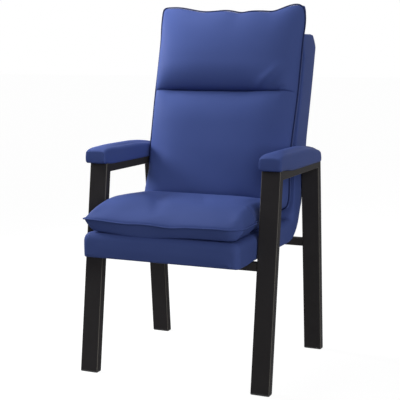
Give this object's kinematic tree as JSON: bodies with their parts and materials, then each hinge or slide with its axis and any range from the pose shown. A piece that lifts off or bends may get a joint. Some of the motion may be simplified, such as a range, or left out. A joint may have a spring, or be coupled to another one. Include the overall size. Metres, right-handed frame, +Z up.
{
  "type": "conference armchair",
  "caption": "High-backed padded conference armchair in blue leatherette on a black flat-tube frame with padded arm rails",
  "frame": {"origin": "on the floor, under the middle of the chair's box", "axes": "front faces -Y, +Z up, +X to the sitter's left"},
  "size_m": [0.614, 0.683, 1.0968],
  "materials": {
    "blue_leatherette": "satin artificial leather",
    "dark_blue_welt": "satin artificial leather over a cord",
    "black_steel": "satin powder coat",
    "black_plastic": "fine matte",
    "black_felt": "non-woven",
    "plywood": "raw birch",
    "zinc_steel": "bright zinc plate",
    "brass": "plain"
  },
  "bodies": {
    "root": {"back_cushion": "blue_leatherette", "back_piping": "dark_blue_welt", "front_crossbar": "black_steel", "left_arm_board": "plywood", "left_arm_pad": "blue_leatherette", "left_arm_rail": "black_steel", "left_front_arm_screw": "zinc_steel", "left_front_foot": "black_plastic", "left_front_leg": "black_steel", "left_front_seat_bolt": "zinc_steel", "left_front_seat_insert": "brass", "left_rear_arm_screw": "zinc_steel", "left_rear_foot": "black_plastic", "left_rear_leg": "black_steel", "left_rear_seat_bolt": "zinc_steel", "left_rear_seat_insert": "brass", "left_seat_strap": "black_steel", "outer_back_panel": "blue_leatherette", "rear_crossbar": "black_steel", "right_arm_board": "plywood", "right_arm_pad": "blue_leatherette", "right_arm_rail": "black_steel", "right_front_arm_screw": "zinc_steel", "right_front_foot": "black_plastic", "right_front_leg": "black_steel", "right_front_seat_bolt": "zinc_steel", "right_front_seat_insert": "brass", "right_rear_arm_screw": "zinc_steel", "right_rear_foot": "black_plastic", "right_rear_leg": "black_steel", "right_rear_seat_bolt": "zinc_steel", "right_rear_seat_insert": "brass", "right_seat_strap": "black_steel", "seat_cushion": "blue_leatherette", "seat_dust_cover": "black_felt", "seat_piping": "dark_blue_welt", "shell_board": "plywood", "shell_upholstery": "blue_leatherette"}
  },
  "joints": []
}
